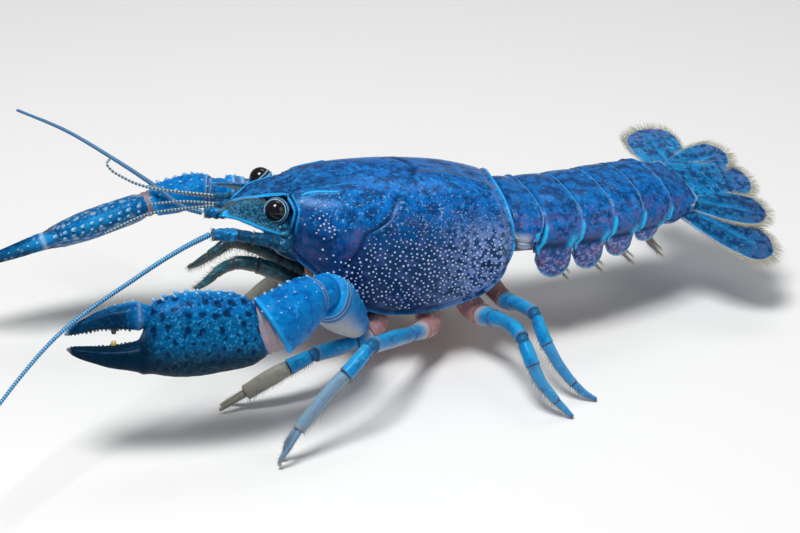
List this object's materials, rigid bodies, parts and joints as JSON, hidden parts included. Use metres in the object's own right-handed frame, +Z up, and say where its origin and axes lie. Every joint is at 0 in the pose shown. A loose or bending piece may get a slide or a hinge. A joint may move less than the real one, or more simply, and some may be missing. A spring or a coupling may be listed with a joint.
{
  "type": "everglades crayfish, still life-size model",
  "caption": "Blue crayfish standing on its walking legs with both claws held forward, long feelers swept ahead and the tail held out straight behind with its fan spread.",
  "frame": {"origin": "middle of the base of the whole box, at the floor under the feet", "axes": "head towards -X, the animal's left side towards -Y, +Z up"},
  "size_m": [0.1396, 0.0738, 0.0356],
  "materials": {
    "shell": "smooth wet shell, blue with pale tubercles",
    "claw": "smooth bright blue shell with dark pits",
    "leg": "smooth blue and cream shell",
    "feeler": "fine ringed blue feeler",
    "mouthpart": "soft teal mouthparts",
    "underside": "pale salmon underside",
    "eye": "glossy black"
  },
  "bodies": {
    "root": {"abdomen_segment_1": "shell", "abdomen_segment_2": "shell", "abdomen_segment_3": "shell", "abdomen_segment_4": "shell", "abdomen_segment_5": "shell", "abdomen_segment_6": "shell", "antenna_left_base": "feeler", "antenna_left_flagellum_base": "feeler", "antenna_left_flagellum_end": "feeler", "antenna_right_base": "feeler", "antenna_right_flagellum_base": "feeler", "antenna_right_flagellum_end": "feeler", "antennal_scale_left": "feeler", "antennal_scale_right": "feeler", "antennule_left": "mouthpart", "antennule_right": "mouthpart", "carapace": "shell", "cheliped_left_carpus": "claw", "cheliped_left_dactyl": "claw", "cheliped_left_ischium": "claw", "cheliped_left_merus": "claw", "cheliped_left_palm": "claw", "cheliped_right_carpus": "claw", "cheliped_right_dactyl": "claw", "cheliped_right_ischium": "claw", "cheliped_right_merus": "claw", "cheliped_right_palm": "claw", "eye_left": "eye", "eye_right": "eye", "eyestalk_left": "mouthpart", "eyestalk_right": "mouthpart", "face": "mouthpart", "leg_1_left_lower": "leg", "leg_1_left_upper": "leg", "leg_1_right_lower": "leg", "leg_1_right_upper": "leg", "leg_2_left_lower": "leg", "leg_2_left_upper": "leg", "leg_2_right_lower": "leg", "leg_2_right_upper": "leg", "leg_3_left_lower": "leg", "leg_3_left_upper": "leg", "leg_3_right_lower": "leg", "leg_3_right_upper": "leg", "leg_4_left_lower": "leg", "leg_4_left_upper": "leg", "leg_4_right_lower": "leg", "leg_4_right_upper": "leg", "maxilliped_left": "mouthpart", "maxilliped_right": "mouthpart", "telson": "shell", "thorax_underside": "underside", "uropod_inner_left": "shell", "uropod_inner_right": "shell", "uropod_outer_left": "shell", "uropod_outer_right": "shell"}
  },
  "joints": []
}
